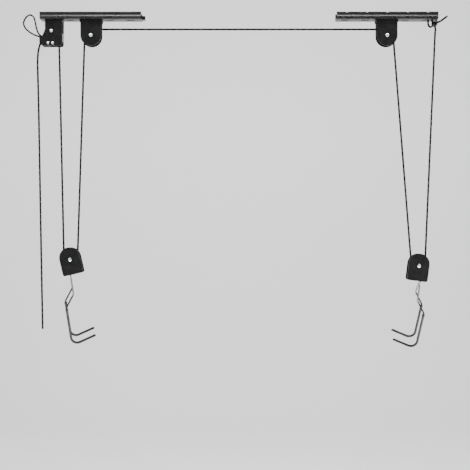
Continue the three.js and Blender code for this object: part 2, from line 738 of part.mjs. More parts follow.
add(
  "rope_over_lock",
  rod(flat([...arc(LOCK_X, LOCK_Z, R, 0, 158, 12), [-494.2, -60.8], [-498.2, -70.5], [-499.6, -75.5]]), ROPE / 2),
  braid,
);
const TAIL_TOP = -75.9;
const tailRun = smooth(
  [
    v3(-499.7, 0, TAIL_TOP),
    v3(-502.2, 0, -83),
    v3(-505, 0, -95),
    v3(-507, 0, -120),
    v3(-506.3, 0, -158),
    v3(-504.8, 0, -218.5),
    v3(-503.3, 0, -294),
    v3(-498.5, 0, -571),
    v3(-494.2, 0, TAIL_TOP - TAIL_LENGTH),
  ],
  26,
);
add("rope_tail", rod(tailRun, ROPE / 2), braid);

export default rack;
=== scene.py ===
"""Looks for the ceiling mounted pulley rack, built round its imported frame.

Metres, +X to the right, +Y to the back, +Z up, origin on the ceiling between the rails.
Each section makes one piece or one kind of piece: its shape, its material, its body.
"""

import math

import bmesh
import bpy
import numpy as np
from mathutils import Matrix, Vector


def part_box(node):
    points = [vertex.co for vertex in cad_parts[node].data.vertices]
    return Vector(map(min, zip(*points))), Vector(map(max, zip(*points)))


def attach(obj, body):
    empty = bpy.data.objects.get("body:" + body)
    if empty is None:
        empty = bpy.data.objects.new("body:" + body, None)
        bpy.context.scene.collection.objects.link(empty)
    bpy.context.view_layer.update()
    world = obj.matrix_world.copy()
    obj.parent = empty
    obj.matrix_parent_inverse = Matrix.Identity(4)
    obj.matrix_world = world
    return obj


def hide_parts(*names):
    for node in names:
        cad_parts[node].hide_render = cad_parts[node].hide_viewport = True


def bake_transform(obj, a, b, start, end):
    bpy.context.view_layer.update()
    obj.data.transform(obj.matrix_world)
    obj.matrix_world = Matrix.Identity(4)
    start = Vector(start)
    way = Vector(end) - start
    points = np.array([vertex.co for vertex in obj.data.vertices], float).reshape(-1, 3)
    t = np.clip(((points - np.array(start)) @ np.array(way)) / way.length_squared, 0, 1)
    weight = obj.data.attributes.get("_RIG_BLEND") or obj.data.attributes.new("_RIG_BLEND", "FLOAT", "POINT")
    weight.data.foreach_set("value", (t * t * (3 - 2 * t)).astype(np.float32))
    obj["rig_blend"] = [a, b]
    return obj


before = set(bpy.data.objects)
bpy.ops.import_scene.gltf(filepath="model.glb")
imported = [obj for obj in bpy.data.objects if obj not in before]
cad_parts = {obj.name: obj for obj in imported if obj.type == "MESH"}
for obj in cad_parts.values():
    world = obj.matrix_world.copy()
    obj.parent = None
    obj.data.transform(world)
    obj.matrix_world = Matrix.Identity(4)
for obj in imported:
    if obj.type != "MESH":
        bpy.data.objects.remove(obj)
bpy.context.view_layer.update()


# ------------------------------------------------------------------ camera
# Level, facing +Y, a little left of the middle and about two thirds of the way down.
lens = bpy.data.cameras.new("camera")
lens.lens = 70.5
lens.sensor_width = 36
lens.dof.use_dof = False
camera = bpy.data.objects.new("camera", lens)
camera.location = (-0.0099, -2.318, -0.5587)
camera.rotation_euler = (math.radians(90), 0, 0)
bpy.context.scene.collection.objects.link(camera)
bpy.context.scene.camera = camera


# ------------------------------------------------------------------ rope
# Braided cord, 4.8 mm, in the pieces that the frame has: the tied end, two falls to each
# hook block, a bight round each hook sheave, the span over both ceiling sheaves, the wrap
# over the lock's sheave and the free tail.


class Value:
    """A socket of a node tree that can be used in arithmetic; each operator adds a maths node."""

    def __init__(self, tree, socket):
        self.tree = tree
        self.socket = socket

    def apply(self, operation, *others):
        """A maths node of that operation, with this value first."""
        node = self.tree.nodes.new("ShaderNodeMath")
        node.operation = operation
        for place, value in enumerate((self, *others)):
            if isinstance(value, Value):
                self.tree.links.new(value.socket, node.inputs[place])
            else:
                node.inputs[place].default_value = value
        return Value(self.tree, node.outputs[0])

    def __add__(self, other):
        return self.apply("ADD", other)

    def __sub__(self, other):
        return self.apply("SUBTRACT", other)

    def __mul__(self, other):
        return self.apply("MULTIPLY", other)

    def __truediv__(self, other):
        return self.apply("DIVIDE", other)

    def __lt__(self, other):
        return self.apply("LESS_THAN", other)


class Paint:
    """A material: its Principled shader's plain values are given, and its varying inputs are linked."""

    def __init__(self, name, **plain):
        self.material = bpy.data.materials.new(name)
        self.material.use_nodes = True
        self.tree = self.material.node_tree
        self.shader = self.tree.nodes["Principled BSDF"]
        for label, value in plain.items():
            self.shader.inputs[label.replace("_", " ")].default_value = value

    def node(self, kind, output=0, settings=(), **inputs):
        """A node of that kind, with its settings and inputs filled in, as a Value of one output."""
        made = self.tree.nodes.new("ShaderNode" + kind)
        for label, value in dict(settings).items():
            setattr(made, label, value)
        for label, value in inputs.items():
            spot = made.inputs[int(label[1:]) if label[1:].isdigit() else label.replace("_", " ")]
            if isinstance(value, Value):
                self.tree.links.new(value.socket, spot)
            else:
                spot.default_value = value
        return Value(self.tree, made.outputs[output])

    def place(self):
        """The point on the surface, in the object's own metres."""
        return self.node("TexCoord", output=3)

    def noise(self, scale, detail=2.0, roughness=0.5):
        """Cloudy noise, with about that many cells to the metre."""
        spot = self.place()
        return self.node("TexNoise", Vector=spot, Scale=scale, Detail=detail, Roughness=roughness)

    def ramp(self, value, low, high, start=0.0, end=1.0):
        """value between low and high, mapped to start and end and held there."""
        limits = {"From_Min": low, "From_Max": high, "To_Min": start, "To_Max": end}
        return self.node("MapRange", Value=value, **limits)

    def blend(self, share, first, second):
        """The first colour where share is 0, the second where it is 1."""
        settings = {"data_type": "RGBA"}
        return self.node("Mix", output=2, settings=settings, i0=share, i6=first, i7=second)

    def set(self, label, value):
        """Links a varying value to the shader's input of that name."""
        self.tree.links.new(value.socket, self.shader.inputs[label])

    def bump(self, height, depth):
        """A bump of that depth in metres, from a height between 0 and 1."""
        self.set("Normal", self.node("Bump", Strength=1.0, Distance=depth, Height=height))


def piece(name, points, faces, paint, nodes, body=None, uv=None):
    """A mesh made into a piece: painted, smooth, standing for its CAD nodes and riding on a body."""
    mesh = bpy.data.meshes.new(name)
    mesh.from_pydata(np.asarray(points, float).tolist(), [], faces)
    mesh.validate()
    made = bpy.data.objects.new(name, mesh)
    bpy.context.scene.collection.objects.link(made)
    mesh.materials.append(paint.material)
    mesh.shade_smooth()
    if uv is not None:
        layer = mesh.uv_layers.new(name="UVMap")
        corner = np.empty(len(mesh.loops), int)
        mesh.loops.foreach_get("vertex_index", corner)
        values = np.asarray(uv, float)[corner]
        # across the seam, the turn goes on past 1 instead of falling back to 0
        start = np.empty(len(mesh.polygons), int)
        total = np.empty(len(mesh.polygons), int)
        mesh.polygons.foreach_get("loop_start", start)
        mesh.polygons.foreach_get("loop_total", total)
        owner = np.repeat(np.arange(len(start)), total)
        most = np.zeros(len(start))
        np.maximum.at(most, owner, values[:, 0])
        values[(most[owner] - values[:, 0]) > 0.5, 0] += 1
        layer.data.foreach_set("uv", values.ravel())
    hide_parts(*nodes)
    if body:
        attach(made, body)
    return made


def turned_frames(path):
    """Tangent and two cross directions at each point of a path, carried along without twist."""
    ahead = np.gradient(path, axis=0)
    ahead /= np.linalg.norm(ahead, axis=1)[:, None]
    across = np.zeros_like(path)
    guess = np.array([0.0, 1.0, 0.0])
    if abs(ahead[0] @ guess) > 0.9:
        guess = np.array([1.0, 0.0, 0.0])
    for n, way in enumerate(ahead):
        guess = guess - way * (guess @ way)
        guess /= np.linalg.norm(guess)
        across[n] = guess
    return ahead, across, np.cross(ahead, across)


def curve_through(points, spacing):
    """A centripetal Catmull-Rom curve, sampled evenly.

    Each span is a cubic whose speeds at its ends follow the square roots of the distances
    between the points round it.
    """
    points = np.asarray(points, float)
    ends = np.vstack([2 * points[0] - points[1], points, 2 * points[-1] - points[-2]])
    fine = []
    for a, b, c, d in zip(ends, ends[1:], ends[2:], ends[3:]):
        t0, t1, t2 = (max(np.linalg.norm(q - p) ** 0.5, 1e-6) for p, q in ((a, b), (b, c), (c, d)))
        out = ((b - a) / t0 - (c - a) / (t0 + t1) + (c - b) / t1) * t1
        back = ((c - b) / t1 - (d - b) / (t1 + t2) + (d - c) / t2) * t1
        t = np.linspace(0, 1, 40, endpoint=False)[:, None]
        cubic = (2 * b - 2 * c + out + back) * t**3 + (3 * c - 3 * b - 2 * out - back) * t**2
        fine.append(cubic + out * t + b)
    return evenly(np.vstack([*fine, points[-1:]]), spacing)


def evenly(path, spacing):
    """The same path, with its points that far apart."""
    path = np.asarray(path, float)
    far = np.r_[0, np.cumsum(np.linalg.norm(np.diff(path, axis=0), axis=1))]
    count = max(3, int(round(far[-1] / spacing)) + 1)
    want = np.linspace(0, far[-1], count)
    return np.column_stack([np.interp(want, far, path[:, n]) for n in range(3)])


def length_of(path):
    """The length of a path, point to point."""
    return float(np.linalg.norm(np.diff(path, axis=0), axis=1).sum())


def tube(path, radii, sides):
    """Rings of circles of each radius, square to the path, with a face over each end.

    Returns the points, the faces, and for each point its share of a turn and its distance along.
    """
    path = np.asarray(path, float)
    radii = np.asarray(radii, float)
    if radii.ndim < 2:
        radii = np.broadcast_to(radii.reshape(-1, 1), (len(path), sides))
    ahead, across, up = turned_frames(path)
    turn = np.arange(sides) / sides
    angle = 2 * math.pi * turn
    cosine, sine = np.cos(angle)[None, :, None], np.sin(angle)[None, :, None]
    ring = cosine * across[:, None, :] + sine * up[:, None, :]
    points = (path[:, None, :] + radii[:, :, None] * ring).reshape(-1, 3)
    far = np.r_[0, np.cumsum(np.linalg.norm(np.diff(path, axis=0), axis=1))]
    uv = np.column_stack([np.tile(turn, len(path)), np.repeat(far, sides)])
    faces = []
    for n in range(len(path) - 1):
        for k in range(sides):
            j = (k + 1) % sides
            faces.append((n * sides + k, n * sides + j, (n + 1) * sides + j, (n + 1) * sides + k))
    last = (len(path) - 1) * sides
    faces.append(tuple(range(sides - 1, -1, -1)))
    faces.append(tuple(range(last, last + sides)))
    return points, faces, uv


CORD = 0.0048
STRANDS = 8  # each way round
PITCH = 0.0156  # of one strand's full turn
CROWN = 0.06  # how far a strand stands out, as a share of the cord's radius
TRACER = 0.24  # half the width of a tracer, as a share of its strand's width


def braid_height(turn, far, diameter=CORD):
    """How far a braided cover stands out, between 0 and 1.

    Two families of strands cross, each strand is a half wave of the sine across its width, and
    the first family is on top in every other cell.
    """
    pitch = PITCH * diameter / CORD
    a = turn * STRANDS + far / pitch * STRANDS
    b = turn * STRANDS - far / pitch * STRANDS
    top = (np.floor(a) + np.floor(b)) % 2 < 1
    return np.where(top, np.sin(np.pi * (a % 1)), np.sin(np.pi * (b % 1)))


def braided(path, diameter=CORD, ends=(False, False), start=0.0):
    """A tube whose radius carries the braid, with each bare end drawn in to a melted dome."""
    sides = 32
    path = evenly(path, 0.0009)
    far = np.linspace(0, length_of(path), len(path)) + start
    turn = np.arange(sides) / sides
    height = braid_height(turn[None, :], far[:, None], diameter)
    radii = diameter / 2 * (1 + CROWN * height)
    along = far - start
    for bare, distance in zip(ends, (along, along[-1] - along)):
        if bare:
            share = np.clip(distance / (diameter * 0.5), 0, 1)
            radii = radii * np.sqrt(np.clip(1 - (1 - share) ** 2, 0.02, 1))[:, None]
    points, faces, uv = tube(path, radii, sides)
    uv[:, 1] += start
    return points, faces, uv


def round_arc(x, z, radius, first, last, count=40):
    """Points of an arc in the XZ plane, angles in degrees from +X towards +Z."""
    angle = np.radians(np.linspace(first, last, count))
    return np.column_stack([x + radius * np.cos(angle), np.zeros(count), z + radius * np.sin(angle)])


def rope_paint(name, diameter):
    """A black braided cover with one dark red and one white tracer, finer than their strands.

    Each tracer shows as a fleck once a pitch. The fuzz and the grime are noise.
    """
    paint = Paint(name, Specular_IOR_Level=0.06)
    turn = paint.node("SeparateXYZ", Vector=paint.node("UVMap"))
    far = Value(paint.tree, turn.socket.node.outputs[1])
    pitch = PITCH * diameter / CORD
    along = far * (STRANDS / pitch)
    a = turn * STRANDS + along
    b = turn * STRANDS - along
    cell = a.apply("FLOOR") + b.apply("FLOOR")
    top = (cell / 2).apply("FRACT") < 0.25
    under = (top * -1) + 1
    across = a.apply("FRACT") * top + b.apply("FRACT") * under
    along_strand = b.apply("FRACT") * top + a.apply("FRACT") * under
    dome = (across * math.pi).apply("SINE") * (along_strand * math.pi).apply("SINE").apply("POWER", 0.4)
    yarn = ((across * 5 + along_strand * 1.3) * (2 * math.pi)).apply("SINE") * 0.5 + 0.5
    # a tracer runs down the middle of one strand of a family, found by its whole-number part
    strand_a = (a.apply("FLOOR") / STRANDS).apply("FRACT")
    strand_b = (b.apply("FLOOR") / STRANDS).apply("FRACT")
    middle = (across - 0.5).apply("ABSOLUTE") < TRACER
    white = top * (strand_a < 0.08) * middle
    red = under * (strand_b < 0.08) * middle
    tint = paint.noise(900, detail=3)
    black = paint.blend(tint, (0.001, 0.0009, 0.0009, 1), (0.004, 0.0032, 0.003, 1))
    with_red = paint.blend(red * 0.85, black, (0.07, 0.009, 0.012, 1))
    colour = paint.blend(white * 0.9, with_red, (0.34, 0.31, 0.3, 1))
    shadow = paint.ramp(dome, 0.0, 0.55, 0.25, 1.0)
    paint.set("Base Color", paint.blend(shadow, (0.002, 0.002, 0.002, 1), colour))
    paint.set("Roughness", paint.ramp(tint, 0.3, 0.7, 0.62, 0.88))
    paint.bump(dome * 0.8 + yarn * dome * 0.2, 0.00022)
    return paint


rope = rope_paint("braided_rope", CORD)
R = 0.017  # of the rope round a sheave
LEFT = (-0.4236, -0.6205)  # left hook sheave
RIGHT = (0.4514, -0.6363)  # right hook sheave
CEILING = 0.3715  # ceiling sheaves, each side
CEILING_Z = -0.058
LOCK = (-0.4703, -0.047)
TIE_END = (0.4935, -0.06)
TAIL_TOP = -0.0759
TAIL = 0.72


def cord_piece(name, path, body=None, ends=(False, False)):
    """One length of the rope along a path, for the CAD node of the same name."""
    points, faces, uv = braided(path, ends=ends)
    return piece(name, points, faces, rope, [name], body, uv)


# the free tail: bare, heat-sealed end, hanging from the lock
tail_points = [
    (-0.4997, 0, TAIL_TOP),
    (-0.5022, 0, -0.083),
    (-0.505, 0, -0.095),
    (-0.507, 0, -0.12),
    (-0.5063, 0, -0.158),
    (-0.5048, 0, -0.2185),
    (-0.5033, 0, -0.294),
    (-0.4985, 0, -0.571),
    (-0.4942, 0, TAIL_TOP - TAIL),
]
tail_path = curve_through(tail_points, 0.004)
tail = cord_piece("rope_tail", tail_path, ends=(False, True))
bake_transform(tail, "rack", "tail", start=(-0.4997, 0, TAIL_TOP), end=(-0.4942, 0, TAIL_TOP - TAIL))

# falls: straight, and shortened or lengthened as their hook block rises or sinks
falls = {
    "rope_fall_1": (TIE_END, (RIGHT[0] + R, RIGHT[1]), "lift_right"),
    "rope_fall_2": ((CEILING + R, CEILING_Z), (RIGHT[0] - R, RIGHT[1]), "lift_right"),
    "rope_fall_3": ((-CEILING - R, CEILING_Z), (LEFT[0] + R, LEFT[1]), "lift_left"),
    "rope_fall_4": ((LOCK[0] + R, LOCK[1]), (LEFT[0] - R, LEFT[1]), "lift_left"),
}
for name, (high, low, body) in falls.items():
    ends = np.array([(high[0], 0, high[1]), (low[0], 0, low[1])])
    fall = cord_piece(name, ends)
    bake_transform(fall, "rack", body, start=tuple(ends[0]), end=tuple(ends[1]))

# bights round the hook sheaves
cord_piece("rope_bight_left", round_arc(*LEFT, R, 0, -180), "lift_left")
cord_piece("rope_bight_right", round_arc(*RIGHT, R, 0, -180), "lift_right")

# the span over both ceiling sheaves, and the wrap over the lock's sheave
cord_piece(
    "rope_span",
    np.vstack([round_arc(CEILING, CEILING_Z, R, 0, 90), round_arc(-CEILING, CEILING_Z, R, 90, 180)]),
    "rack",
)
over_lock = curve_through([(-0.4942, 0, -0.0608), (-0.4982, 0, -0.0705), (-0.4996, 0, -0.0755)], 0.001)
cord_piece("rope_over_lock", np.vstack([round_arc(*LOCK, R, 0, 158, 60), over_lock]), "rack")


def several(parts):
    """Tubes put together as one mesh."""
    points, faces, uv = [], [], []
    for p, f, t in parts:
        faces += [tuple(v + len(points) for v in face) for face in f]
        points += list(map(tuple, p))
        uv += list(map(tuple, t))
    return points, faces, uv


def hitch(centre, way, radius, turns, pitch):
    """A helix about a line through centre: round at that radius, and along by pitch each turn."""
    way = np.array(way, float) / np.linalg.norm(way)
    side = np.cross(way, (0, 1, 0))
    side /= np.linalg.norm(side)
    up = np.cross(way, side)
    t = np.linspace(-0.5, 0.5, int(40 * turns))[:, None]
    angle = 2 * math.pi * turns * t
    round_it = radius * (np.cos(angle) * side + np.sin(angle) * up)
    return np.array(centre) + way * t * pitch * turns + round_it


# the tied end: a loop through the rail's slot and opening, the knot, and the short end that
# pokes out through the hole of the rail's tab
ring = curve_through(
    [
        (0.4903, 0, -0.0275),
        (0.4866, 0, -0.0323),
        (0.4823, 0, -0.0352),
        (0.4782, 0, -0.0318),
        (0.4764, 0, -0.026),
        (0.4765, 0, -0.019),
        (0.4773, 0, -0.0146),
        (0.4814, 0, -0.0129),
        (0.4856, 0, -0.0146),
        (0.4865, 0, -0.019),
        (0.488, 0, -0.0235),
        (0.4903, 0, -0.0275),
    ],
    0.001,
)
down = curve_through(
    [
        (0.4903, 0, -0.0275),
        (0.4935, 0, -0.034),
        (0.4948, 0, -0.041),
        (0.494, 0, -0.05),
        (TIE_END[0], 0, TIE_END[1]),
    ],
    0.001,
)
short_end = curve_through(
    [
        (0.4903, 0, -0.0275),
        (0.497, 0, -0.0246),
        (0.5035, 0, -0.0218),
        (0.5092, 0, -0.0192),
        (0.5168, 0, -0.0134),
        (0.5261, 0, -0.0066),
    ],
    0.001,
)
knot = hitch((0.4906, 0, -0.0282), (0.35, 0.1, -1), 0.0034, 2.2, 0.0047)
points, faces, uv = several(
    [
        braided(ring),
        braided(down, start=0.02),
        braided(short_end, ends=(False, True), start=0.05),
        braided(knot, ends=(True, True), start=0.09),
    ]
)
piece("rope_tie", points, faces, rope, ["rope_tie"], "rack", uv)


# ------------------------------------------------------------------ release loop
# A short loop of thinner cord, knotted in front of the cam's ear, its end through the ear.
LOOP = 0.004
CAM = (-0.4786, -0.0774)
HOLE = (CAM[0] - 0.0095, CAM[1] + 0.0095)
loop_paint = rope_paint("braided_loop", LOOP)
loop_run = curve_through(
    [
        (-0.4942, -0.0064, -0.061),
        (-0.5036, -0.0055, -0.0524),
        (-0.5086, -0.004, -0.0398),
        (-0.5124, -0.002, -0.0244),
        (-0.5172, 0, -0.0098),
        (-0.525, 0, -0.0046),
        (-0.535, 0, -0.0095),
        (-0.5423, 0, -0.0244),
        (-0.5383, -0.001, -0.0368),
        (-0.5278, -0.003, -0.0474),
        (-0.5124, -0.005, -0.0564),
        (-0.4942, -0.0064, -0.0622),
    ],
    0.001,
)
loop_end = curve_through(
    [
        (-0.4942, -0.0064, -0.0616),
        (-0.49, -0.006, -0.065),
        (HOLE[0], -0.0026, HOLE[1]),
        (HOLE[0], 0.0034, HOLE[1]),
    ],
    0.001,
)
front_knot = hitch((-0.4942, -0.0066, -0.0615), (1, 0, -0.7), 0.0021, 1.9, 0.0039)
ear_knot = hitch((HOLE[0], 0.0052, HOLE[1]), (0.1, 1, 0), 0.0018, 1.6, 0.0012)
points, faces, uv = several(
    [
        braided(loop_run, LOOP),
        braided(loop_end, LOOP, start=0.03),
        braided(front_knot, LOOP, (True, True), 0.06),
        braided(ear_knot, LOOP, (True, True), 0.1),
    ]
)
piece("release_loop", points, faces, loop_paint, ["release_loop"], "cam", uv)


# ------------------------------------------------------------------ rails and housings
# Folded sheet, taken from the frame's own shape, with every edge softened, then a gloss
# black powder coat: orange peel, faint dust and a few paler rubbed spots.


def softened(node, paint, body, width):
    """A copy of a CAD node, its flat faces made whole and its sharp edges rounded to that width."""
    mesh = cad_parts[node].data.copy()
    mesh.name = node + "_coat"
    grid = bmesh.new()
    grid.from_mesh(mesh)
    bmesh.ops.remove_doubles(grid, verts=grid.verts, dist=2e-6)
    bmesh.ops.dissolve_limit(grid, angle_limit=math.radians(1.5), verts=grid.verts, edges=grid.edges)
    grid.normal_update()
    grid.to_mesh(mesh)
    grid.free()
    for layer in list(mesh.attributes):
        if layer.name == "custom_normal":
            mesh.attributes.remove(layer)
    made = bpy.data.objects.new(node + "_coat", mesh)
    bpy.context.scene.collection.objects.link(made)
    mesh.materials.clear()
    mesh.materials.append(paint.material)
    mesh.shade_smooth()
    bevel = made.modifiers.new("edges", "BEVEL")
    bevel.width = width
    bevel.segments = 3
    bevel.limit_method = "ANGLE"
    bevel.angle_limit = math.radians(28)
    bevel.harden_normals = True
    bevel.use_clamp_overlap = True
    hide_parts(node)
    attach(made, body)
    return made


coat = Paint("powder_coat", Specular_IOR_Level=0.3)
peel = coat.noise(1400, detail=1.0)
dust = coat.noise(60, detail=6, roughness=0.65)
speck = coat.node("TexVoronoi", Vector=coat.place(), Scale=700.0)
rub = coat.ramp(coat.noise(240, detail=5, roughness=0.75), 0.7, 0.78)
dusted = coat.blend(coat.ramp(dust, 0.45, 0.8), (0.0022, 0.0022, 0.0024, 1), (0.005, 0.005, 0.0053, 1))
coat.set("Base Color", coat.blend(rub * 0.35, dusted, (0.02, 0.02, 0.021, 1)))
coat.set("Roughness", coat.ramp(dust, 0.3, 0.75, 0.25, 0.31) + (speck < 0.12) * 0.08)
coat.bump(peel, 0.000008)

# the bead pressed along each rail's walls lies a little lower than the frame has it
BEAD_DROP = 0.0028
for side in ("left", "right"):
    rail = softened("rail_" + side, coat, "rack", 0.0005)
    for corner in rail.data.vertices:
        if abs(corner.co.y) > 0.0155 and -0.0125 < corner.co.z < -0.005:
            corner.co.z -= BEAD_DROP
softened("housing_left", coat, "rack", 0.0006)
softened("housing_right", coat, "rack", 0.0006)
softened("housing_lock", coat, "rack", 0.0006)
softened("housing_hook_left", coat, "block_left", 0.0006)
softened("housing_hook_right", coat, "block_right", 0.0006)


# ------------------------------------------------------------------ sheaves
# Moulded black nylon wheels: a hub, a dished web with lightening pockets and a round groove
# for the rope.


def spun(profile, x, z, segments, axis="y"):
    """A profile of radius and height, turned a full circle about an axis through (x, z)."""
    profile = np.asarray(profile, float)
    angle = 2 * math.pi * np.arange(segments) / segments
    r, h = profile[:, 0], profile[:, 1]
    a = np.outer(np.cos(angle), r)
    b = np.outer(np.sin(angle), r)
    c = np.broadcast_to(h, a.shape)
    if axis == "y":
        points = np.stack([x + a, c, z + b], axis=2)
    else:
        points = np.stack([x + a, -b, z + c], axis=2)
    count = len(profile)
    faces = []
    for n in range(segments):
        m = (n + 1) % segments
        for k in range(count - 1):
            faces.append((n * count + k, m * count + k, m * count + k + 1, n * count + k + 1))
    return points.reshape(-1, 3), faces


def clean(made):
    """Joins doubled points and faces everything outwards."""
    grid = bmesh.new()
    grid.from_mesh(made.data)
    bmesh.ops.remove_doubles(grid, verts=grid.verts, dist=1e-6)
    bmesh.ops.dissolve_degenerate(grid, dist=1e-7, edges=grid.edges)
    bmesh.ops.recalc_face_normals(grid, faces=grid.faces)
    grid.to_mesh(made.data)
    grid.free()
    made.data.shade_smooth()
    return made


nylon = Paint("moulded_nylon", Specular_IOR_Level=0.45)
grain = nylon.noise(2200, detail=2)
haze = nylon.noise(140, detail=4)
nylon.set("Base Color", nylon.blend(haze, (0.007, 0.007, 0.0072, 1), (0.017, 0.017, 0.0175, 1)))
nylon.set("Roughness", nylon.ramp(haze, 0.3, 0.7, 0.38, 0.55))
nylon.bump(grain, 0.00003)


def sheave_points(x, z, rim):
    """A hub, a dish, a rounded rim, and a groove that is an arc a little wider than the rope.

    Six shallow pockets are pressed into the dish, which goes down with the cosine of six times
    the angle.
    """
    bore = 0.0043
    rim *= 0.998  # just inside the frame's
    arc = np.radians(np.linspace(-68, 68, 15))
    groove_radius = CORD / 2 + 0.0003
    groove = [(R - groove_radius * math.cos(a), groove_radius * math.sin(a) * 1.15) for a in arc]
    lip = min(rim, R + 0.003)
    half = [
        (bore, -0.0052),
        (bore + 0.0003, -0.0055),
        (bore + 0.0038, -0.0055),
        (bore + 0.0043, -0.0052),
        (bore + 0.0052, -0.0044),
        (0.0112, -0.0042),
        (0.0128, -0.0043),
        (rim - 0.0022, -0.0050),
        (rim - 0.0008, -0.0050),
        (rim - 0.0002, -0.0046),
        (rim, -0.0043),
        (lip - 0.0004, -0.0039),
        (R + 0.0007, -0.0033),
    ]
    profile = [*half, *groove, *[(r, -h) for r, h in reversed(half)], half[0]]
    points, faces = spun(profile, x, z, segments=144)
    local = points - (x, 0, z)
    radius = np.hypot(local[:, 0], local[:, 2])
    angle = np.arctan2(local[:, 2], local[:, 0])
    dish = np.exp(-(((radius - 0.0115) / 0.0016) ** 2)) * np.clip(np.cos(6 * angle), 0, 1) ** 0.5
    points[:, 1] -= np.sign(local[:, 1]) * dish * 0.0009
    return points, faces


for name, (x, z, rim) in {
    "left": (-CEILING, CEILING_Z, 0.02),
    "right": (CEILING, CEILING_Z, 0.02),
    "lock": (*LOCK, 0.0185),
    "hook_left": (*LEFT, 0.02),
    "hook_right": (*RIGHT, 0.02),
}.items():
    points, faces = sheave_points(x, z, rim)
    clean(piece("sheave_" + name, points, faces, nylon, ["sheave_" + name], "turn_" + name))

softened("cam_spacer", nylon, "rack", 0.0003)
softened("lock_pad", nylon, "rack", 0.0006)


# ------------------------------------------------------------------ rivets, axles and washers
# Bright zinc plate: a blue-white metal with soft clouds and fine swirl marks, painted near black on the rim
# of each rivet head as painted shade.
plate = Paint("zinc_plate", Metallic=1.0)
cloud = plate.noise(220, detail=5, roughness=0.6)
mark = plate.noise(3500, detail=2)
skirt = plate.node("Attribute", output=2, settings={"attribute_name": "skirt"})
bright = plate.blend(cloud, (0.80, 0.81, 0.83, 1), (0.66, 0.68, 0.71, 1))
# painted shade: towards the skirt of each rivet head the zinc turns near black
plate.set("Base Color", plate.blend(skirt, bright, (0.03, 0.03, 0.032, 1)))
plate.set("Roughness", plate.ramp(cloud, 0.3, 0.7, 0.2, 0.36) + mark * 0.05)
plate.bump(cloud * 0.7 + mark * 0.3, 0.00003)


def rivet_profile(shaft, head, height, half):
    """A straight shaft between two domed heads, each a quarter of an ellipse with a short skirt."""
    angle = np.radians(np.linspace(90, 8, 9))
    dome = [(head * math.cos(a), half + height * (0.12 + 0.88 * math.sin(a))) for a in angle]
    top = [(1e-7, half + height), *dome[1:], (head, half + 0.0002), (head - 0.0002, half), (shaft, half)]
    lower = [(r, -h) for r, h in top]
    return [*lower, *top[::-1]]


def rivet_piece(name, x, z, shaft, head, height, half, body):
    """A rivet along Y; the skirt of each head is painted near black, a painted shade on its rim."""
    points, faces = spun(rivet_profile(shaft, head, height, half), x, z, segments=48)
    made = clean(piece(name, points, faces, plate, [name], body))
    reach = [math.hypot(v.co.x - x, v.co.z - z) / head for v in made.data.vertices]
    # painted shade: the share of near black grows over the outer part of each head
    share = made.data.attributes.new("skirt", "FLOAT", "POINT")
    share.data.foreach_set("value", np.clip((np.array(reach) - 0.72) / 0.16, 0, 1))
    return made


half_block = 0.0123
rivet_piece("axle_left", -CEILING, CEILING_Z, 0.004, 0.005, 0.0026, half_block, "rack")
rivet_piece("axle_right", CEILING, CEILING_Z, 0.004, 0.005, 0.0026, half_block, "rack")
rivet_piece("axle_lock", *LOCK, 0.004, 0.0044, 0.0026, half_block, "rack")
rivet_piece("axle_hook_left", *LEFT, 0.004, 0.005, 0.0026, half_block, "block_left")
rivet_piece("axle_hook_right", *RIGHT, 0.004, 0.005, 0.0026, half_block, "block_right")
rivet_piece("cam_pin", *CAM, 0.0022, 0.0034, 0.002, half_block, "rack")
rivet_piece("stop_pin", -0.4673, CAM[1], 0.0022, 0.0034, 0.002, half_block, "rack")

for name in ("left_a", "left_b", "right_a", "right_b", "lock_a", "lock_b"):
    low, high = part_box("rivet_" + name)
    x, z = (low.x + high.x) / 2, (low.z + high.z) / 2
    points, faces = spun(rivet_profile(0.0025, 0.0045, 0.002, 0.00235), x, z, segments=48, axis="z")
    clean(piece("rivet_" + name, points, faces, plate, ["rivet_" + name], "rack"))

for name, body in {
    "left": "rack",
    "right": "rack",
    "lock": "rack",
    "hook_left": "block_left",
    "hook_right": "block_right",
}.items():
    for side in ("front", "back"):
        node = f"washer_{name}_{side}"
        low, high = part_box(node)
        x, z = (low.x + high.x) / 2, (low.z + high.z) / 2
        a, b = low.y, high.y
        r, s, e = 0.0043, 0.007, 0.0003  # bore, rim and the break of each edge
        low_edge = [(r, a + e), (r + e, a), (s - e, a), (s, a + e)]
        high_edge = [(s, b - e), (s - e, b), (r + e, b), (r, b - e)]
        points, faces = spun([*low_edge, *high_edge, low_edge[0]], x, z, segments=48)
        clean(piece(node, points, faces, plate, [node], body))


# ------------------------------------------------------------------ cam and its spring
# The cam is stamped black-coated steel with rounded edges and a toothed nose; the
# spring is bright wire coiled round the cam's pin.
softened("cam", coat, "cam", 0.0004)

spring_corners = [(-0.001, -0.0036, 0.012), (0.0038, -0.0036, 0.005)]
for n in range(31):
    a = math.radians(20) - 2 * math.pi * 2.75 * n / 30
    spring_corners.append((0.0041 * math.cos(a), -0.0036 - 0.0044 * n / 30, 0.0041 * math.sin(a)))
spring_corners.append((0.011, -0.0082, 0.013))
spring_path = curve_through(np.array(spring_corners) + (CAM[0], 0, CAM[1]), 0.0006)
points, faces, uv = tube(spring_path, np.full(len(spring_path), 0.00056), 12)
piece("cam_spring", points, faces, plate, ["cam_spring"], "rack", uv)
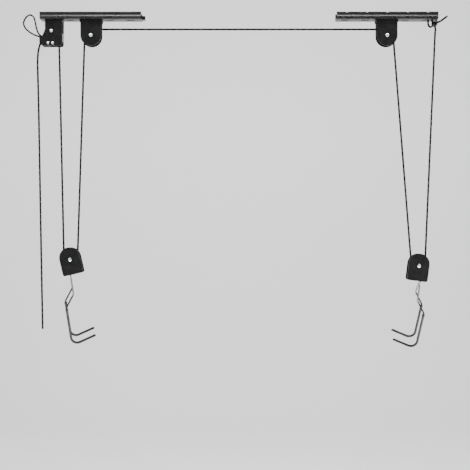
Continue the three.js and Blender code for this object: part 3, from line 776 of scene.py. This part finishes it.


# ------------------------------------------------------------------ hooks
# One bent wire each, zinc plated and duller than the rivets, its two prongs dipped in black
# vinyl with a thick first ridge and a drip at the tip. From each upper kink down the wire is
# painted near black: painted shade on the slanted kinks.
wire_paint = Paint("zinc_wire", Metallic=0.85)
kink_shade_share = wire_paint.node("Attribute", output=2, settings={"attribute_name": "kink_shade"})
pull = wire_paint.noise(1800, detail=2)
cloudy = wire_paint.noise(90, detail=5)
zinc_tint = wire_paint.blend(cloudy, (0.2, 0.202, 0.208, 1), (0.13, 0.132, 0.138, 1))
# painted shade: the zinc turns near black from each upper kink down
wire_paint.set("Base Color", wire_paint.blend(kink_shade_share, zinc_tint, (0.003, 0.003, 0.0031, 1)))
wire_paint.set("Roughness", wire_paint.ramp(cloudy, 0.3, 0.7, 0.34, 0.5))
wire_paint.bump(pull, 0.00003)

skin = Paint("dipped_vinyl", Specular_IOR_Level=0.12)
drag = skin.noise(120, detail=3)
pores = skin.noise(1600, detail=3, roughness=0.6)
skin.set("Base Color", skin.blend(drag, (0.0018, 0.0018, 0.0019, 1), (0.0045, 0.0045, 0.0046, 1)))
skin.set("Roughness", skin.ramp(drag, 0.3, 0.7, 0.3, 0.45) + pores * 0.05)
skin.bump(drag * 0.6 + pores * 0.4, 0.00008)

WIRE, COATING, COLLAR = 0.0042, 0.0064, 0.0078
SPACING, BIGHT, LEG = 0.05, 0.0065, 0.0414
KINK_OUT, KINK_DOWN, SHANK, CRADLE, ARM = 0.0225, 0.0328, 0.0826, 0.016, 0.042
RISE = math.radians(16)


def filleted(corners, radii):
    """Straight lines between corners, with an arc at each inner corner, tangent to both lines."""
    spacing = 0.0008
    corners = [np.array(c, float) for c in corners]
    run = [corners[0]]
    for before, at, after, radius in zip(corners, corners[1:], corners[2:], radii):
        back = (before - at) / np.linalg.norm(before - at)
        ahead = (after - at) / np.linalg.norm(after - at)
        half = math.acos(np.clip(back @ ahead, -1, 1)) / 2
        turn = math.pi - 2 * half
        middle = back + ahead
        centre = at + middle / np.linalg.norm(middle) * radius / math.sin(half)
        start = at + back * radius / math.tan(half) - centre
        finish = at + ahead * radius / math.tan(half) - centre
        for share in np.linspace(0, 1, max(4, int(turn * radius / spacing))):
            a = turn * share
            run.append(centre + (start * math.sin(turn - a) + finish * math.sin(a)) / math.sin(turn))
    return np.array([*run, corners[-1]])


def half_wire(open_to, depth_side):
    """From the top of the bight down one leg, through the kink, down the shank, round and up the arm."""
    depth = depth_side * SPACING / 2
    knee = -LEG - KINK_DOWN
    cradle = knee - SHANK
    inset = CRADLE / math.tan((math.pi / 2 - RISE) / 2)
    reach = inset + ARM
    out = open_to * -KINK_OUT
    bight = depth_side * BIGHT
    return filleted(
        [
            (0, 0, BIGHT),
            (0, bight, BIGHT),
            (0, bight, -0.0048),
            (0, depth, -LEG),
            (out, depth, knee),
            (out, depth, cradle - inset),
            (out + open_to * reach * math.cos(RISE), depth, cradle - inset + reach * math.sin(RISE)),
        ],
        [BIGHT - 0.00001, 0.004, 0.006, 0.006, CRADLE],
    )


def posed(points, pivot, lean, roll, turn):
    """Turned about Y, then X, then Z, and moved to the pivot."""
    a, b, c = (math.radians(v) for v in (lean, roll, turn))
    about_y = np.array([[math.cos(a), 0, math.sin(a)], [0, 1, 0], [-math.sin(a), 0, math.cos(a)]])
    about_x = np.array([[1, 0, 0], [0, math.cos(b), -math.sin(b)], [0, math.sin(b), math.cos(b)]])
    about_z = np.array([[math.cos(c), -math.sin(c), 0], [math.sin(c), math.cos(c), 0], [0, 0, 1]])
    return points @ (about_z @ about_x @ about_y).T + pivot


for side, open_to, (x, z), block_lean, pose in (
    ("left", 1, LEFT, -13.3, (-9, 16.3, 13.2)),
    ("right", -1, RIGHT, 7.5, (9, 23.6, -5)),
):
    t = math.radians(block_lean)
    bar = (-open_to * 0.0095, -0.0392)
    across = bar[0] * math.cos(t) + bar[1] * math.sin(t)
    along = bar[1] * math.cos(t) - bar[0] * math.sin(t)
    pivot = np.array([x + across, 0, z + along])
    front, back = half_wire(open_to, -1), half_wire(open_to, 1)
    path = evenly(posed(np.vstack([front[::-1], back[1:]]), pivot, *pose), 0.0012)
    points, faces, uv = tube(path, np.full(len(path), WIRE / 2 * 0.985), 20)
    wire = piece("wire_" + side, points, faces, wire_paint, ["wire_" + side], "hook_" + side, uv)
    # the painted shade begins at each upper kink, counted along the wire from the top of its bight
    knee = length_of(front[front[:, 2] > -LEG - 0.001])
    from_top = np.abs(uv[:, 1] - uv[-1, 1] / 2)
    share = wire.data.attributes.new("kink_shade", "FLOAT", "POINT")
    share.data.foreach_set("value", np.clip((from_top - knee) / 0.0015, 0, 1))
    for end, run in (("front", front), ("back", back)):
        top = -LEG - KINK_DOWN - 0.0026
        prong = run[run[:, 2] < top]
        prong = np.vstack([[prong[0][0], prong[0][1], top], prong])
        onward = prong[-1] - prong[-2]
        onward /= np.linalg.norm(onward)
        prong[-1] = prong[-1] + onward * 0.0019
        path = evenly(prong, 0.0007)
        far = np.linspace(0, length_of(path), len(path))
        left = far[-1] - far
        # the first ridge swells and dies away; the rest is even, with a slow ripple of the dip
        ridge = np.exp(-(((far - 0.0026) / 0.0024) ** 2)) * (COLLAR - COATING) / 2
        radius = COATING / 2 * (0.97 + 0.012 * np.sin(far * 190) + 0.008 * np.sin(far * 71 + 1)) + ridge
        start = np.clip(far / 0.0012, 0, 1)
        radius = radius * (0.72 + 0.28 * np.sqrt(1 - (1 - start) ** 2))
        tip = np.clip(left / 0.0032, 0, 1)
        radius = radius * np.sqrt(np.clip(1 - (1 - tip) ** 2, 0.01, 1))
        points, faces, uv = tube(posed(path, pivot, *pose), radius, 28)
        name = f"coating_{side}_{end}"
        piece(name, points, faces, skin, [name], "hook_" + side, uv)


# ------------------------------------------------------------------ stage
# A white sweep: a floor that curves up into a wall, in soft light from all round.
steps = np.radians(np.linspace(0, 90, 16))
sweep = [(-7.0, -1.55), (2.4, -1.55)]
sweep += [(2.4 + 1.6 * math.sin(a), -1.55 + 1.6 * (1 - math.cos(a))) for a in steps[1:]]
sweep += [(4.0, 5.0)]
wall = bpy.data.meshes.new("sweep")
corners = [(x, y, z) for y, z in sweep for x in (-9.0, 9.0)]
wall.from_pydata(corners, [], [(2 * n, 2 * n + 1, 2 * n + 3, 2 * n + 2) for n in range(len(sweep) - 1)])
backdrop = bpy.data.objects.new("sweep", wall)
bpy.context.scene.collection.objects.link(backdrop)
wall.shade_smooth()
paper = Paint("paper_sweep", Roughness=0.95, Specular_IOR_Level=0.1)
fibre = paper.noise(40, detail=3)
paper.set("Base Color", paper.blend(fibre, (0.93, 0.93, 0.93, 1), (0.96, 0.96, 0.96, 1)))
wall.materials.append(paper.material)

world = bpy.data.worlds.new("studio")
bpy.context.scene.world = world
world.use_nodes = True
world.node_tree.nodes["Background"].inputs["Color"].default_value = (1, 1, 1, 1)
world.node_tree.nodes["Background"].inputs["Strength"].default_value = 0.45


def softbox(name, place, target, size, power):
    """A rectangular light that faces its target."""
    light = bpy.data.lights.new(name, "AREA")
    light.shape = "RECTANGLE"
    light.size, light.size_y = size
    light.energy = power
    lamp = bpy.data.objects.new(name, light)
    lamp.location = place
    way = np.array(target, float) - np.array(place, float)
    flat = math.hypot(way[0], way[1])
    lamp.rotation_euler = (math.atan2(flat, -way[2]), 0, math.atan2(way[1], way[0]) - math.pi / 2)
    bpy.context.scene.collection.objects.link(lamp)


softbox("key", (-2.7, -1.7, 1.5), (0, 0, -0.4), (1.2, 0.9), 60)
softbox("fill", (2.2, -1.8, 0.5), (0, 0, -0.4), (0.9, 1.4), 30)
softbox("low_strip", (0.25, -0.62, -1.5), (0.1, 0, 0), (2.2, 0.3), 110)
softbox("high_strip", (0.1, -0.35, 0.8), (0.1, 0, -0.02), (2.2, 0.25), 80)
softbox("wall_wash", (0, 1.4, 1.6), (0, 3.4, -0.8), (6.0, 1.0), 50)
